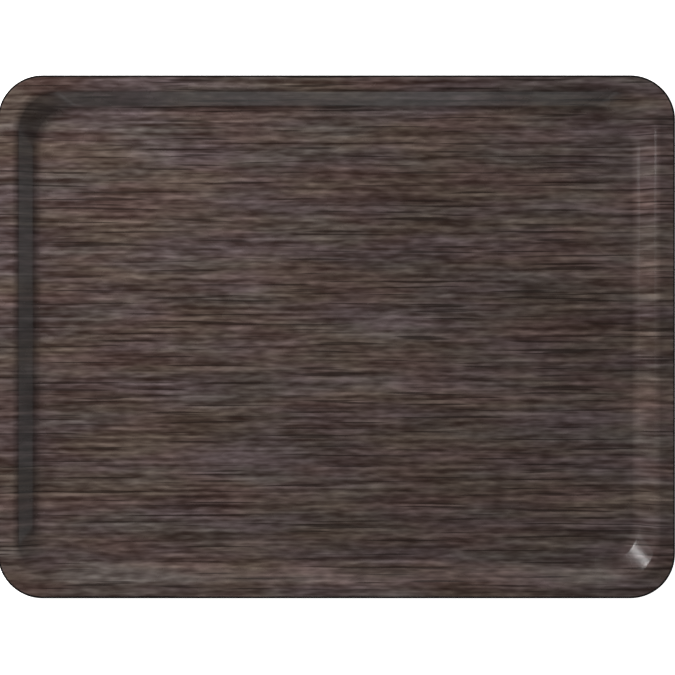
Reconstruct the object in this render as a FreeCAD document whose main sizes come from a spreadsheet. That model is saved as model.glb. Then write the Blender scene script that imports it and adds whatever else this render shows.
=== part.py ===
"""Serving tray pressed from a high-pressure laminate with a dark wood-grain face.

The tray is a lay-up of thin sheets, cured together in a heated press: a clear wear overlay, the printed
decor sheet, eight kraft core sheets and a backing sheet. Its rim is trimmed after pressing, bevelled above
and below, and the bevel is closed with a dark sealing lacquer.

Frame: the origin is at the centre of the floor's underside, +X runs along the length, +Y across it and +Z
up. All sizes are in millimetres.

Every sheet has the same form: a flat rim, a brow bend, a sloping wall, a floor bend and a flat floor. Between
the sheets lie the interfaces. An interface at a given depth below the face is the face's form moved down by
that depth and grown outwards by depth * tan(wall slope / 2), which keeps the sheets' thickness on the slope.
"""

import FreeCAD, Part
import math
import os

import Sketcher

PARTS_FOLDER = "parts"
CORE_SHEETS = 8
BEVELLED_CORE_SHEETS = 3  # core sheets that each of the rim's two bevels cuts through

# alias, value, what it is
DIMENSIONS = (
    ("tray_length", 430.0, "overall length of the rim, over the lacquer"),
    ("tray_width", 332.0, "overall width of the rim, over the lacquer"),
    ("corner_radius", 28.5, "plan radius of the rim's corners"),
    ("rim_reach_ends", 11.7, "from the rim's edge to the brow line at the two short ends"),
    ("rim_reach_sides", 8.9, "from the rim's edge to the brow line at the two long sides"),
    ("brow_corner_radius", 26.5, "plan radius of the brow line's corners"),
    ("wall_run", 11.3, "plan width of the sloping wall, from brow line to floor line"),
    ("well_depth", 12.0, "height of the rim's face above the floor's face"),
    ("floor_corner_radius", 28.0, "plan radius of the floor line's corners"),
    ("brow_bend_radius", 6.0, "bend between rim and wall, on the face"),
    ("floor_bend_radius", 7.5, "bend between wall and floor, on the face"),
    ("overlay_thick", 0.12, "clear melamine wear overlay"),
    ("decor_thick", 0.18, "printed decor sheet"),
    ("core_thick", 0.25, "one phenolic kraft core sheet"),
    ("backing_thick", 0.3, "dark melamine backing sheet"),
    ("bevel_run", 1.1, "plan width of the bevel along the rim's edge"),
    ("seal_thick", 0.15, "lacquer on the bevelled edge, measured level"),
)

FACE_STACK = "(dims.overlay_thick + dims.decor_thick)"
LAMINATE = f"({FACE_STACK} + {CORE_SHEETS} * dims.core_thick + dims.backing_thick)"
TOP_BEVEL_DEPTH = f"({FACE_STACK} + {BEVELLED_CORE_SHEETS} * dims.core_thick)"
LAND_END_DEPTH = f"({LAMINATE} - dims.backing_thick - {BEVELLED_CORE_SHEETS} * dims.core_thick)"
SPREAD = "tan(atan(dims.well_depth / dims.wall_run) / 2)"

AT_OUTLINE = 0.01  # how near an edge must lie to the outline that it is looked for on

START, END, CENTRE = 1, 2, 3  # a sketch line's or arc's own points
ORIGIN = -1  # the sketch's own origin, as a piece of geometry


def lay_up():
    """(label, depth of its face, depth of its underside) from the face down, the depths as expressions."""
    decor_top = "dims.overlay_thick"
    sheets = [("wear_overlay", "0", decor_top), ("face_decor_sheet", decor_top, FACE_STACK)]
    above = FACE_STACK
    for number in range(1, CORE_SHEETS + 1):
        below = f"({FACE_STACK} + {number} * dims.core_thick)"
        sheets.append((f"core_sheet_{number}", above, below))
        above = below
    sheets.append(("backing_sheet", above, LAMINATE))
    return sheets


def rim_height(depth):
    return f"{LAMINATE} + dims.well_depth - {depth}"


def floor_height(depth):
    return f"{LAMINATE} - {depth}"


def rim_outline(inset):
    """Half length, half width and corner radius, as expressions, of the rim's edge moved in by inset."""
    return (
        f"dims.tray_length / 2 - {inset}",
        f"dims.tray_width / 2 - {inset}",
        f"dims.corner_radius - {inset}",
    )


def bevel_inset(depth):
    """How far the bevelled edge stands back at a depth: bevel_run at both faces and nothing on the land."""
    above = f"1 - {depth} / {TOP_BEVEL_DEPTH}"
    below = f"({depth} - {LAND_END_DEPTH}) / ({LAMINATE} - {LAND_END_DEPTH})"
    return f"dims.bevel_run * max(0; {above}; {below})"


def trimmed_outline(depth):
    """The sheets' own edge at a depth, under the lacquer."""
    return rim_outline(f"(dims.seal_thick + {bevel_inset(depth)})")


def brow_outline(depth):
    """The line where the planes of rim and wall would meet, on the interface at a depth."""
    return (
        f"dims.tray_length / 2 - dims.rim_reach_ends + {SPREAD} * {depth}",
        f"dims.tray_width / 2 - dims.rim_reach_sides + {SPREAD} * {depth}",
        f"dims.brow_corner_radius + {SPREAD} * {depth}",
    )


def floor_outline(depth):
    """The line where the planes of wall and floor would meet, on the interface at a depth."""
    return (
        f"dims.tray_length / 2 - dims.rim_reach_ends - dims.wall_run + {SPREAD} * {depth}",
        f"dims.tray_width / 2 - dims.rim_reach_sides - dims.wall_run + {SPREAD} * {depth}",
        f"dims.floor_corner_radius + {SPREAD} * {depth}",
    )


def make_dimensions(doc):
    sheet = doc.addObject("Spreadsheet::Sheet", "dims")
    for row, (alias, value, meaning) in enumerate(DIMENSIONS, start=1):
        sheet.set(f"A{row}", meaning)
        sheet.set(f"B{row}", str(value))
        sheet.setAlias(f"B{row}", alias)
    doc.recompute()
    return sheet


def rounded_rectangle(half_length, half_width, radius):
    """Straight side and following corner, four times round, anticlockwise from the near side."""
    flat_x, flat_y = half_length - radius, half_width - radius
    corners = ((flat_x, -flat_y), (flat_x, flat_y), (-flat_x, flat_y), (-flat_x, -flat_y))
    sides = (
        (-flat_x, -half_width, flat_x, -half_width),
        (half_length, -flat_y, half_length, flat_y),
        (flat_x, half_width, -flat_x, half_width),
        (-half_length, flat_y, -half_length, -flat_y),
    )
    geometry = []
    for number, ((x1, y1, x2, y2), (x, y)) in enumerate(zip(sides, corners)):
        start_angle = (number - 1) * math.pi / 2
        circle = Part.Circle(FreeCAD.Vector(x, y, 0), FreeCAD.Vector(0, 0, 1), radius)
        geometry.append(Part.LineSegment(FreeCAD.Vector(x1, y1, 0), FreeCAD.Vector(x2, y2, 0)))
        geometry.append(Part.ArcOfCircle(circle, start_angle, start_angle + math.pi / 2))
    return geometry


def add_outline_sketch(body, name, outline, height):
    """A level rounded rectangle about the origin, with its sizes and its height bound to the dimensions."""
    dims = body.Document.getObject("dims")
    half_length, half_width, radius = (float(dims.evalExpression(size)) for size in outline)
    plane = next(feature for feature in body.Origin.OriginFeatures if feature.Role == "XY_Plane")
    sketch = body.newObject("Sketcher::SketchObject", name)
    sketch.AttachmentSupport = [(plane, "")]
    sketch.MapMode = "FlatFace"
    sketch.setExpression(".AttachmentOffset.Base.z", height)
    sketch.addGeometry(rounded_rectangle(half_length, half_width, radius), False)
    sides, arcs = (0, 2, 4, 6), (1, 3, 5, 7)
    for side, arc in zip(sides, arcs):
        sketch.addConstraint(Sketcher.Constraint("Tangent", side, END, arc, START))
        sketch.addConstraint(Sketcher.Constraint("Tangent", arc, END, (arc + 1) % 8, START))
    for side, direction in zip(sides, ("Horizontal", "Vertical", "Horizontal", "Vertical")):
        sketch.addConstraint(Sketcher.Constraint(direction, side))
    for arc in arcs[1:]:
        sketch.addConstraint(Sketcher.Constraint("Equal", arcs[0], arc))
    sketch.addConstraint(Sketcher.Constraint("Symmetric", arcs[0], CENTRE, arcs[2], CENTRE, ORIGIN, START))
    driven = (
        ("half_length", Sketcher.Constraint("DistanceX", ORIGIN, START, sides[1], START, half_length)),
        ("half_width", Sketcher.Constraint("DistanceY", ORIGIN, START, sides[2], START, half_width)),
        ("radius", Sketcher.Constraint("Radius", arcs[0], radius)),
    )
    for (size_name, constraint), size in zip(driven, outline):
        sketch.renameConstraint(sketch.addConstraint(constraint), size_name)
        sketch.setExpression(f"Constraints.{size_name}", size)
    return sketch


def add_loft(body, kind, name, sketches):
    """A straight-sided loft through level outlines, added to the body or taken from it."""
    loft = body.newObject(f"PartDesign::{kind}Loft", name)
    loft.Profile = (sketches[0], [""])
    loft.Sections = [(sketch, [""]) for sketch in sketches[1:]]
    loft.Ruled = True
    for sketch in sketches:
        sketch.Visibility = False
    return loft


def edges_on(shape, dims, outline, height):
    """Names of the edges that lie level at a height, on or within an outline."""
    half_length, half_width, _ = (float(dims.evalExpression(size)) for size in outline)
    level = float(dims.evalExpression(height))
    found = []
    for number, edge in enumerate(shape.Edges, start=1):
        box = edge.BoundBox
        flat = abs(box.ZMin - level) < AT_OUTLINE and abs(box.ZMax - level) < AT_OUTLINE
        reach_x, reach_y = max(abs(box.XMin), abs(box.XMax)), max(abs(box.YMin), abs(box.YMax))
        if flat and reach_x < half_length + AT_OUTLINE and reach_y < half_width + AT_OUTLINE:
            found.append(f"Edge{number}")
    return found


def add_bend(body, base, name, outline, height, radius):
    """Rounds the line where two faces of a sheet meet, all the way round the tray."""
    doc = body.Document
    doc.recompute()
    edges = edges_on(base.Shape, doc.getObject("dims"), outline, height)
    bend = body.newObject("PartDesign::Fillet", name)
    bend.Base = (base, edges)
    bend.setExpression("Radius", radius)
    return bend


def make_sheet(doc, label, above, below):
    """One pressed sheet, from the interface at depth above to the interface at depth below."""
    body = doc.addObject("PartDesign::Body", label)
    body.Label = label
    edge_top = add_outline_sketch(body, f"{label}_edge_top", trimmed_outline(above), rim_height(above))
    edge_foot = add_outline_sketch(body, f"{label}_edge_foot", trimmed_outline(below), rim_height(below))
    add_loft(body, "Additive", f"{label}_rim", (edge_top, edge_foot))
    under_brow = add_outline_sketch(body, f"{label}_under_brow", brow_outline(below), rim_height(below))
    under_floor = add_outline_sketch(body, f"{label}_under_floor", floor_outline(below), floor_height(below))
    add_loft(body, "Additive", f"{label}_bowl", (under_brow, under_floor))
    brow = add_outline_sketch(body, f"{label}_brow", brow_outline(above), rim_height(above))
    floor = add_outline_sketch(body, f"{label}_floor", floor_outline(above), floor_height(above))
    feature = add_loft(body, "Subtractive", f"{label}_well", (brow, floor))
    # the bends that fill a corner come before those that round it off, so the sheet never thins to nothing
    bends = (
        ("under_brow_bend", brow_outline(below), rim_height(below), f"dims.brow_bend_radius - {below}"),
        ("floor_bend", floor_outline(above), floor_height(above), f"dims.floor_bend_radius + {above}"),
        ("brow_bend", brow_outline(above), rim_height(above), f"dims.brow_bend_radius - {above}"),
        ("under_floor_bend", floor_outline(below), floor_height(below), f"dims.floor_bend_radius + {below}"),
    )
    for name, outline, height, radius in bends:
        feature = add_bend(body, feature, f"{label}_{name}", outline, height, radius)
    return body


def make_seal(doc):
    """The lacquer film that closes the bevelled edge, as thick everywhere as seal_thick measured level."""
    body = doc.addObject("PartDesign::Body", "edge_lacquer")
    body.Label = "edge_lacquer"
    stops = (("top", "0"), ("land", TOP_BEVEL_DEPTH), ("land_end", LAND_END_DEPTH), ("foot", LAMINATE))
    for kind, inset in (("Additive", "0"), ("Subtractive", "dims.seal_thick")):
        rings = []
        for stop, depth in stops:
            outline = rim_outline(f"({inset} + {bevel_inset(depth)})")
            rings.append(add_outline_sketch(body, f"edge_lacquer_{kind}_{stop}", outline, rim_height(depth)))
        add_loft(body, kind, f"edge_lacquer_{kind}", rings)
    return body


def check_document(doc, parts):
    for member in doc.Objects:
        if "Invalid" in member.State or "Error" in member.State:
            raise RuntimeError(f"{member.Name} did not compute: {member.State}")
    for part in parts:
        if part.Shape.isNull() or not part.Shape.isValid() or len(part.Shape.Solids) != 1:
            raise RuntimeError(f"{part.Label} is not one sound solid")


def main():
    doc = FreeCAD.newDocument("serving_tray")
    make_dimensions(doc)
    parts = [make_sheet(doc, *sheet) for sheet in lay_up()]
    parts.append(make_seal(doc))
    doc.recompute()
    check_document(doc, parts)
    os.makedirs(PARTS_FOLDER, exist_ok=True)
    for part in parts:
        part.Shape.exportStep(f"{PARTS_FOLDER}/{part.Label}.step")
        box = part.Shape.BoundBox
        print(part.Label, len(part.Shape.Faces), round(part.Shape.Volume, 1), box)


main()
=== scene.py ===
"""A serving tray pressed from laminate sheets: its visible faces, its decor and a plain studio around it.

Lengths are in metres, in the CAD frame: +X along the tray, +Y across it, +Z up, the origin under its middle.
"""

import math

import bmesh
import bpy
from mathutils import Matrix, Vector


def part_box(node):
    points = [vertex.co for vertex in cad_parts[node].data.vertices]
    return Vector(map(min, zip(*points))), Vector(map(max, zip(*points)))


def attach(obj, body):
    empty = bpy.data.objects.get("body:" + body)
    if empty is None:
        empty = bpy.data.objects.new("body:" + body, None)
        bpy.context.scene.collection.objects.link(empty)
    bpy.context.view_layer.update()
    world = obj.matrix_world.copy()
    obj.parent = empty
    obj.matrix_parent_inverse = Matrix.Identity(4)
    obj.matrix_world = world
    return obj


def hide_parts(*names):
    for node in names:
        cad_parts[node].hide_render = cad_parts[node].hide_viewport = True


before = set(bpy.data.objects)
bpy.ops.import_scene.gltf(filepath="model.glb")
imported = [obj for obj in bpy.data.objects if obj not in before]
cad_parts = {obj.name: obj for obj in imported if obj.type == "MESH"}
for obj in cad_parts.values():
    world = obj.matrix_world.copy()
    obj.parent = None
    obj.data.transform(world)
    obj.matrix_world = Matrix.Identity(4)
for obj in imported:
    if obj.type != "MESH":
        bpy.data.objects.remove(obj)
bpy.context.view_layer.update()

MM = 0.001

# the tray's outline, read from the lacquered edge
edge_low, edge_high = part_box("edge_lacquer")
HALF_LENGTH = edge_high.x
HALF_WIDTH = edge_high.y
TRAY_TOP = edge_high.z
LAMINATE = edge_high.z - edge_low.z
WELL_DEPTH = TRAY_TOP - LAMINATE
CORNER_RADIUS = 28.5 * MM

# the pressed form: a flat rim, a brow line, a sloping wall and a floor line
RIM_REACH_ENDS = 11.7 * MM
RIM_REACH_SIDES = 8.9 * MM
WALL_RUN = 11.3 * MM
BROW_CORNER_RADIUS = 26.5 * MM
FLOOR_CORNER_RADIUS = 28.0 * MM
BROW_BEND_RADIUS = 6.0 * MM
FLOOR_BEND_RADIUS = 7.5 * MM
HALF_SLOPE_TAN = math.tan(math.atan2(WELL_DEPTH, WALL_RUN) / 2)

# the trimmed edge: a bevel above, a short upright land and a bevel below, under a film of lacquer
BEVEL_RUN = 1.1 * MM
SEAL = 0.15 * MM
TOP_BEVEL_DEPTH = 1.05 * MM
LAND_END_DEPTH = LAMINATE - TOP_BEVEL_DEPTH

CORE_SHEETS = 8

# how finely corners and bends are divided, and the turn above which an edge stays crisp
CORNER_STEPS = 20
BEND_STEPS = 8
CRISP_TURN = math.radians(20)

# the studio: how far the lamps and the reflecting cards stand from the tray, and where they point
LAMP_DISTANCE = 1.15
CARD_DISTANCE = 1.4
CARD_HEIGHT = 0.12
TRAY_MIDDLE = (0, 0, 0)
ABOVE_RIM = (0, 0, 0.05)
TABLE_HALF_SIZE = 6.0
TABLE_GAP = 0.1 * MM

# the camera: its height above the rim, its place beside the tray's middle, the share of the length it frames
VIEW_HEIGHT = 1.5
VIEW_OFFSET = (0.7 * MM, -0.45 * MM)
FRAMED_SHARE = 0.9956
SENSOR_WIDTH = 36.0


# ---------------------------------------------------------------- shapes


def rounded_outline(bm, half_length, half_width, radius, height):
    """Adds a level rounded rectangle and returns its face."""
    made = bmesh.ops.create_grid(bm, x_segments=1, y_segments=1, size=1.0)
    corners = made["verts"]
    bmesh.ops.scale(bm, vec=(half_length, half_width, 1.0), verts=corners)
    bmesh.ops.translate(bm, vec=(0.0, 0.0, height), verts=corners)
    before = set(bm.faces)
    face = corners[0].link_faces[0]
    bmesh.ops.bevel(
        bm, geom=corners, offset=radius, offset_type="OFFSET", segments=CORNER_STEPS, profile=0.5,
        affect="VERTICES", clamp_overlap=False, material=-1,
    )
    if face.is_valid:
        return face
    return next(f for f in bm.faces if f not in before)


def open_loop(bm, face):
    """Takes the face away, leaves its rim and returns the rim's edges."""
    edges = list(face.edges)
    bmesh.ops.delete(bm, geom=[face], context="FACES_ONLY")
    return edges


def join_loops(bm, loops):
    """Walls between each loop and the next."""
    for loop, following in zip(loops, loops[1:]):
        bmesh.ops.bridge_loops(bm, edges=loop + following)


def rim_size(inset):
    return HALF_LENGTH - inset, HALF_WIDTH - inset, CORNER_RADIUS - inset


def brow_size(depth):
    spread = HALF_SLOPE_TAN * depth
    return (
        HALF_LENGTH - RIM_REACH_ENDS + spread,
        HALF_WIDTH - RIM_REACH_SIDES + spread,
        BROW_CORNER_RADIUS + spread,
    )


def floor_size(depth):
    spread = HALF_SLOPE_TAN * depth
    return (
        HALF_LENGTH - RIM_REACH_ENDS - WALL_RUN + spread,
        HALF_WIDTH - RIM_REACH_SIDES - WALL_RUN + spread,
        FLOOR_CORNER_RADIUS + spread,
    )


def bevel_inset(depth):
    """How far the bevelled edge stands back at a depth below the face."""
    above = 1 - depth / TOP_BEVEL_DEPTH
    below = (depth - LAND_END_DEPTH) / (LAMINATE - LAND_END_DEPTH)
    return BEVEL_RUN * max(0.0, above, below)


def bend(bm, lines, radius):
    """Rounds lines that run right round the tray to a bend of that radius."""
    bmesh.ops.bevel(
        bm, geom=lines, offset=radius * HALF_SLOPE_TAN, offset_type="OFFSET", segments=BEND_STEPS,
        profile=0.5, affect="EDGES", clamp_overlap=False, material=-1,
    )


def sheet_mesh(above, below):
    """A pressed sheet between two depths below the tray's face."""
    bm = bmesh.new()
    rims, folds = [], []
    for depth, convex, concave in (
        (above, BROW_BEND_RADIUS - above, FLOOR_BEND_RADIUS + above),
        (below, BROW_BEND_RADIUS - below, FLOOR_BEND_RADIUS + below),
    ):
        inset = SEAL + bevel_inset(depth)
        rim = open_loop(bm, rounded_outline(bm, *rim_size(inset), TRAY_TOP - depth))
        brow = open_loop(bm, rounded_outline(bm, *brow_size(depth), TRAY_TOP - depth))
        floor_face = rounded_outline(bm, *floor_size(depth), LAMINATE - depth)
        floor_line = list(floor_face.edges)
        join_loops(bm, [rim, brow, floor_line])
        rims.append(rim)
        folds += [(brow, convex), (floor_line, concave)]
    join_loops(bm, rims)
    # a bend goes to the right side of its line only when all the faces around it look outwards
    bmesh.ops.recalc_face_normals(bm, faces=bm.faces)
    for lines, radius in folds:
        bend(bm, lines, radius)
    return bm


def finished_piece(name, bm, material, replaced):
    """Closes a mesh into a piece that rides on the tray and stands for the CAD nodes it replaces."""
    bmesh.ops.recalc_face_normals(bm, faces=bm.faces)
    for face in bm.faces:
        face.smooth = True
    for edge in bm.edges:
        edge.smooth = edge.calc_face_angle(0.0) < CRISP_TURN
    mesh = bpy.data.meshes.new(name)
    bm.to_mesh(mesh)
    bm.free()
    mesh.materials.append(material)
    piece = bpy.data.objects.new(name, mesh)
    bpy.context.scene.collection.objects.link(piece)
    weighted = piece.modifiers.new("even_shading", "WEIGHTED_NORMAL")
    weighted.keep_sharp = True
    weighted.weight = 100
    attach(piece, "root")
    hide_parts(*replaced)


# ---------------------------------------------------------------- finishes


class Tone:
    """A node's output in a finish: arithmetic on it adds Math nodes."""

    def __init__(self, finish, output):
        self.finish, self.output = finish, output

    def combined(self, operation, first, second):
        return self.finish.node("ShaderNodeMath", {"operation": operation}, {0: first, 1: second})

    def __add__(self, other):
        return self.combined("ADD", self, other)

    __radd__ = __add__

    def __sub__(self, other):
        return self.combined("SUBTRACT", self, other)

    def __rsub__(self, other):
        return self.combined("SUBTRACT", other, self)

    def __mul__(self, other):
        return self.combined("MULTIPLY", self, other)

    __rmul__ = __mul__


class Finish:
    """A node tree being filled, with one method for every node in it."""

    def __init__(self, owner):
        owner.use_nodes = True
        self.owner, self.tree = owner, owner.node_tree
        self.tree.nodes.clear()

    def node(self, kind, settings=None, inputs=None, output=0):
        """Adds a node: its settings first, then the values or links of its sockets."""
        made = self.tree.nodes.new(kind)
        for name, value in (settings or {}).items():
            setattr(made, name, value)
        for name, value in (inputs or {}).items():
            socket = made.inputs[name]
            if isinstance(value, Tone):
                self.tree.links.new(value.output, socket)
            else:
                socket.default_value = value
        return Tone(self, made.outputs[output]) if made.outputs else made

    def noise(self, place, length, width, detail, shift):
        """Level noise stretched to streaks of about that length along the tray and width across it."""
        stretched = self.node(
            "ShaderNodeMapping", {"vector_type": "POINT"},
            {"Vector": place, "Location": (shift, 1.7 * shift, 0.0), "Scale": (1 / length, 1 / width, 1.0)},
        )
        return self.node(
            "ShaderNodeTexNoise", {"noise_dimensions": "2D"},
            {"Vector": stretched, "Scale": 1.0, "Detail": detail, "Roughness": 0.5},
        )

    def step(self, value, start, end, low=0.0, high=1.0):
        """Runs smoothly from low to high as value goes from start to end."""
        return self.node(
            "ShaderNodeMapRange", {"interpolation_type": "SMOOTHSTEP", "clamp": True},
            {"Value": value, "From Min": start, "From Max": end, "To Min": low, "To Max": high},
        )

    def blend(self, factor, first, second, blend_type="MIX"):
        return self.node(
            "ShaderNodeMix", {"data_type": "RGBA", "blend_type": blend_type},
            {"Factor": factor, 6: first, 7: second}, output=2,
        )

    def surface(self, shader):
        self.node("ShaderNodeOutputMaterial", inputs={"Surface": shader})
        return self.owner


def colour(red, green, blue):
    return red, green, blue, 1.0


def wood_decor():
    """Printed dark wood grain, streaked along the tray, under the clear glossy overlay."""
    finish = Finish(bpy.data.materials.new("wood_decor"))
    place = finish.node("ShaderNodeTexCoord", output=3)
    # the grain wanders a little to either side as it runs along
    wander = finish.noise(place, 0.250, 0.080, detail=1.0, shift=3.1) - 0.5
    sideways = finish.node("ShaderNodeCombineXYZ", inputs={"Y": wander * 0.002})
    grain = finish.node("ShaderNodeVectorMath", {"operation": "ADD"}, {0: place, 1: sideways})

    patches = finish.noise(grain, 0.180, 0.060, detail=2.0, shift=1.3) - 0.5
    long_fibres = finish.noise(grain, 0.130, 0.0032, detail=1.0, shift=5.2) - 0.5
    fibres = finish.noise(grain, 0.042, 0.0030, detail=1.0, shift=9.7) - 0.5
    flecks = finish.noise(grain, 0.011, 0.0026, detail=1.0, shift=14.2) - 0.5
    light = 0.62 + patches * 0.2 + long_fibres * 0.66 + fibres * 0.58 + flecks * 0.64
    brown = finish.blend(light * light, colour(0.0215, 0.0090, 0.0061), colour(0.161, 0.122, 0.110))
    pores = finish.step(finish.noise(grain, 0.075, 0.0021, detail=1.0, shift=18.6), 0.38, 0.28)
    brown = finish.blend(pores * 0.75, brown, colour(0.014, 0.007, 0.005))

    warmth = finish.step(finish.noise(grain, 0.100, 0.022, detail=2.0, shift=21.8), 0.3, 0.7)
    blush = finish.step(finish.noise(grain, 0.070, 0.015, detail=2.0, shift=27.5), 0.3, 0.7)
    for amount, cool, warm in (
        (warmth, colour(0.945, 1, 1.07), colour(1.06, 1, 0.93)),
        (blush, colour(0.98, 1.03, 0.97), colour(1.03, 0.965, 1.03)),
    ):
        brown = finish.blend(1.0, brown, finish.blend(amount, cool, warm), "MULTIPLY")

    rub = finish.noise(place, 0.030, 0.020, detail=4.0, shift=31.0)
    ripple = finish.noise(grain, 0.060, 0.0040, detail=2.0, shift=40.0)
    relief = finish.node(
        "ShaderNodeBump", inputs={"Strength": 0.25, "Distance": 0.00006, "Height": ripple + fibres * 0.3}
    )
    gloss = finish.step(rub, 0.3, 0.7, 0.21, 0.29)
    shader = finish.node(
        "ShaderNodeBsdfPrincipled",
        inputs={"Base Color": brown, "Roughness": gloss, "IOR": 1.5, "Normal": relief},
    )
    return finish.surface(shader)


def plain_resin(name, tint, roughness, grain_size, specular):
    """Cured resin of one colour, faintly mottled, with a fine tooth."""
    finish = Finish(bpy.data.materials.new(name))
    place = finish.node("ShaderNodeTexCoord", output=3)
    mottle = finish.node(
        "ShaderNodeTexNoise", inputs={"Vector": place, "Scale": 1 / grain_size, "Detail": 4.0}
    )
    darker = colour(*(0.75 * part for part in tint))
    lighter = colour(*(1.25 * part for part in tint))
    relief = finish.node("ShaderNodeBump", inputs={"Strength": 0.2, "Distance": 0.00005, "Height": mottle})
    shader = finish.node(
        "ShaderNodeBsdfPrincipled",
        inputs={
            "Base Color": finish.blend(mottle, darker, lighter),
            "Roughness": finish.step(mottle, 0.3, 0.7, roughness - 0.06, roughness + 0.06),
            "Specular IOR Level": specular,
            "Normal": relief,
        },
    )
    return finish.surface(shader)


# ---------------------------------------------------------------- the tray


def depths(node):
    """Where a sheet's face and underside lie below the tray's face."""
    low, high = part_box(node)
    return TRAY_TOP - high.z, LAMINATE - low.z


def make_sheets():
    face_top, _ = depths("wear_overlay")
    _, face_foot = depths("face_decor_sheet")
    face_nodes = ["wear_overlay", "face_decor_sheet"]
    finished_piece("wood_face", sheet_mesh(face_top, face_foot), wood_decor(), face_nodes)
    kraft = plain_resin("kraft_core", (0.035, 0.022, 0.016), 0.5, 4 * MM, 0.4)
    for number in range(1, CORE_SHEETS + 1):
        node = f"core_sheet_{number}"
        finished_piece(f"core_ply_{number}", sheet_mesh(*depths(node)), kraft, [node])
    backing = plain_resin("backing", (0.022, 0.018, 0.017), 0.42, 3 * MM, 0.5)
    backing_bm = sheet_mesh(*depths("backing_sheet"))
    finished_piece("backing_skin", backing_bm, backing, ["backing_sheet"])


def make_edge_seal():
    """The lacquer film round the trimmed edge: four outlines outside, four inside, joined in a ring."""
    bm = bmesh.new()
    stops = (0.0, TOP_BEVEL_DEPTH, LAND_END_DEPTH, LAMINATE)
    outer = [(bevel_inset(depth), depth) for depth in stops]
    inner = [(SEAL + bevel_inset(depth), depth) for depth in reversed(stops)]
    rings = []
    for inset, depth in outer + inner:
        rings.append(open_loop(bm, rounded_outline(bm, *rim_size(inset), TRAY_TOP - depth)))
    join_loops(bm, rings + rings[:1])
    lacquer = plain_resin("edge_lacquer", (0.004, 0.003, 0.0028), 0.6, 2 * MM, 0.03)
    finished_piece("edge_seal", bm, lacquer, ["edge_lacquer"])


# ---------------------------------------------------------------- the studio


def aimed(obj, place, target):
    obj.location = place
    obj.rotation_euler = (Vector(target) - Vector(place)).to_track_quat("-Z", "Y").to_euler()
    bpy.context.scene.collection.objects.link(obj)
    return obj


def polar(distance, azimuth, elevation):
    """A place seen from the tray's middle at that azimuth from +X and elevation, both in degrees."""
    around, up = math.radians(azimuth), math.radians(elevation)
    level = distance * math.cos(up)
    return level * math.cos(around), level * math.sin(around), distance * math.sin(up)


def panel_light(name, place, target, width, height, radiance):
    """A flat lamp of even radiance that the camera itself doesn't see."""
    lamp = bpy.data.lights.new(name, "AREA")
    lamp.shape = "RECTANGLE"
    lamp.size, lamp.size_y = width, height
    lamp.energy = radiance * math.pi * width * height
    panel = aimed(bpy.data.objects.new(name, lamp), place, target)
    panel.visible_camera = False
    return panel


def make_studio():
    bm = bmesh.new()
    bmesh.ops.create_grid(bm, x_segments=1, y_segments=1, size=TABLE_HALF_SIZE)
    mesh = bpy.data.meshes.new("table")
    bm.to_mesh(mesh)
    bm.free()
    table = bpy.data.objects.new("table", mesh)
    finish = Finish(bpy.data.materials.new("white_table"))
    white = finish.node(
        "ShaderNodeBsdfPrincipled",
        inputs={
            "Base Color": colour(0.8, 0.8, 0.8), "Roughness": 0.9, "Emission Color": colour(1, 1, 1),
            "Emission Strength": 1.1,
        },
    )
    # clear from below, and a hair under the tray, so that the tray's underside can be looked at too
    from_below = finish.node("ShaderNodeNewGeometry", output="Backfacing")
    clear = finish.node("ShaderNodeBsdfTransparent")
    one_sided = finish.node("ShaderNodeMixShader", inputs={0: from_below, 1: white, 2: clear})
    mesh.materials.append(finish.surface(one_sided))
    table.location.z = -TABLE_GAP
    bpy.context.scene.collection.objects.link(table)

    # the key light's own mirror image would flood the corner's wall, so only the round lamp's shows
    key_place = polar(LAMP_DISTANCE, azimuth=143.5, elevation=33)
    key = panel_light("key", key_place, TRAY_MIDDLE, 0.5, 0.5, 19.5)
    key.visible_glossy = False
    lamp_place = polar(LAMP_DISTANCE, azimuth=149, elevation=37.5)
    round_lamp = panel_light("round_lamp", lamp_place, TRAY_MIDDLE, 0.25, 0.25, 18.0)
    round_lamp.data.shape = "DISK"
    panel_light("near_card", (0, -CARD_DISTANCE, CARD_HEIGHT), ABOVE_RIM, 0.66, 0.30, 1.6)
    panel_light("far_card", (0, CARD_DISTANCE, CARD_HEIGHT), ABOVE_RIM, 1.6, 0.30, 0.6)
    panel_light("right_card", (CARD_DISTANCE, 0, CARD_HEIGHT), ABOVE_RIM, 1.6, 0.30, 0.8)
    panel_light("left_slit", (-CARD_DISTANCE, 0.25, 0.68), ABOVE_RIM, 0.07, 0.30, 3.6)

    world = bpy.data.worlds.new("studio")
    bpy.context.scene.world = world
    sky = Finish(world)
    seen = sky.node("ShaderNodeLightPath")
    room = sky.node("ShaderNodeBackground", inputs={"Color": colour(1, 1, 1), "Strength": 0.15})
    paper = sky.node("ShaderNodeBackground", inputs={"Color": colour(0.93, 0.93, 0.93), "Strength": 1.0})
    mixed = sky.node("ShaderNodeMixShader", inputs={0: seen, 1: room, 2: paper})
    sky.node("ShaderNodeOutputWorld", inputs={"Surface": mixed})


def make_camera():
    """Looks straight down on the tray, framed on its length."""
    camera_data = bpy.data.cameras.new("above")
    camera_data.sensor_width = SENSOR_WIDTH
    camera_data.lens = SENSOR_WIDTH * VIEW_HEIGHT / (2 * HALF_LENGTH * FRAMED_SHARE)
    camera = bpy.data.objects.new("above", camera_data)
    camera.location = (*VIEW_OFFSET, TRAY_TOP + VIEW_HEIGHT)
    bpy.context.scene.collection.objects.link(camera)
    bpy.context.scene.camera = camera
    bpy.context.scene.view_settings.view_transform = "Standard"


make_sheets()
make_edge_seal()
make_studio()
make_camera()

bpy.context.view_layer.update()
